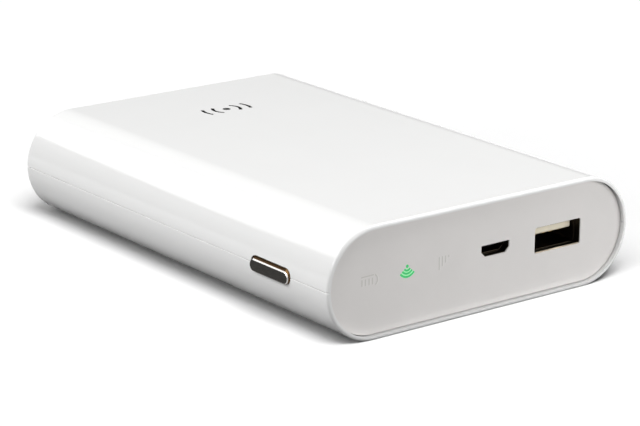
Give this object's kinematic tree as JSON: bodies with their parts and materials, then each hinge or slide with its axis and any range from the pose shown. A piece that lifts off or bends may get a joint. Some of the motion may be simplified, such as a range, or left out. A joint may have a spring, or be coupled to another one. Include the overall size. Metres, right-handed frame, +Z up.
{
  "type": "mobile hotspot",
  "caption": "Flat pocket mobile hotspot with rounded long sides, a recessed port panel, a side power key, a pull-off rear cover and a built-in battery.",
  "frame": {"origin": "centre of the flat underside that the hotspot rests on", "axes": "+Z up out of the large top face, +Y towards the rear cover, so the ports face -Y, and the power key is on the -X side"},
  "size_m": [0.0806, 0.1124, 0.0238],
  "materials": {
    "gloss_white": "smooth gloss white",
    "satin_grey": "fine satin light grey",
    "inner_plastic": "moulded, unfinished",
    "dark_chrome": "dark mirror plating",
    "black_plastic": "moulded black",
    "ivory_plastic": "moulded off-white",
    "steel": "rolled sheet, bare",
    "gold": "thin gold plating",
    "nickel": "nickel plated sheet",
    "capacitor_can": "drawn can",
    "board_green": "solder resist",
    "clear_plastic": "clear moulded",
    "led": "clear epoxy",
    "led_lit": "clear epoxy, lit",
    "cell_wrap": "shrink film over a drawn metal can",
    "foam": "soft open foam",
    "insulator": "fish paper",
    "wire_red": "smooth jacket",
    "wire_black": "smooth jacket",
    "antenna_film": "thin printed film",
    "sim_card": "smooth card"
  },
  "bodies": {
    "housing": {"battery_cell_1": "cell_wrap", "battery_cell_2": "cell_wrap", "battery_cell_3": "cell_wrap", "battery_lead_negative": "wire_black", "battery_lead_positive": "wire_red", "board_screw_1": "steel", "board_screw_2": "steel", "board_screw_3": "steel", "board_screw_4": "steel", "board_screw_5": "steel", "bottom_cover": "gloss_white", "capacitor_1": "capacitor_can", "capacitor_2": "capacitor_can", "cell_saddle_lower_front": "inner_plastic", "cell_saddle_lower_rear": "inner_plastic", "cell_saddle_upper_front": "inner_plastic", "cell_saddle_upper_rear": "inner_plastic", "cell_tab_front": "nickel", "cell_tab_rear": "nickel", "diversity_antenna": "antenna_film", "foam_pad_bottom": "foam", "foam_pad_top": "foam", "front_panel": "satin_grey", "insulator_sheet": "insulator", "led_battery": "led", "led_signal": "led", "led_wifi": "led_lit", "light_guide": "clear_plastic", "main_antenna": "antenna_film", "main_antenna_cable": "wire_black", "main_antenna_socket": "gold", "main_board": "board_green", "micro_usb_shell": "steel", "micro_usb_tongue": "black_plastic", "modem_shield": "nickel", "power_inductor": "black_plastic", "power_switch_body": "black_plastic", "rear_bulkhead": "inner_plastic", "reset_switch_body": "black_plastic", "sim_socket": "nickel", "top_cover": "gloss_white", "usb_a_contact_1": "gold", "usb_a_contact_2": "gold", "usb_a_contact_3": "gold", "usb_a_contact_4": "gold", "usb_a_shell": "steel", "usb_a_tongue": "ivory_plastic", "wifi_antenna": "antenna_film", "wifi_antenna_cable": "wire_black", "wifi_antenna_socket": "gold", "wifi_shield": "nickel"},
    "power_key": {"power_button": "dark_chrome", "power_switch_plunger": "ivory_plastic"},
    "rear_cover": {"rear_cover": "satin_grey"},
    "sim_card": {"sim_card": "sim_card"},
    "reset_button": {"reset_button": "ivory_plastic"}
  },
  "joints": [
    {"name": "power_key_press", "type": "slide", "parent": "housing", "child": "power_key", "axis": [1, 0, 0], "range_m": [0, 0.0005], "stiffness_N_per_m": 3000},
    {"name": "rear_cover_pull", "type": "slide", "parent": "housing", "child": "rear_cover", "axis": [0, 1, 0], "range_m": [0, 0.025]},
    {"name": "sim_card_eject", "type": "slide", "parent": "housing", "child": "sim_card", "axis": [0, 1, 0], "range_m": [0, 0.0045]},
    {"name": "reset_press", "type": "slide", "parent": "housing", "child": "reset_button", "axis": [0, -1, 0], "range_m": [0, 0.0004], "stiffness_N_per_m": 4000}
  ]
}
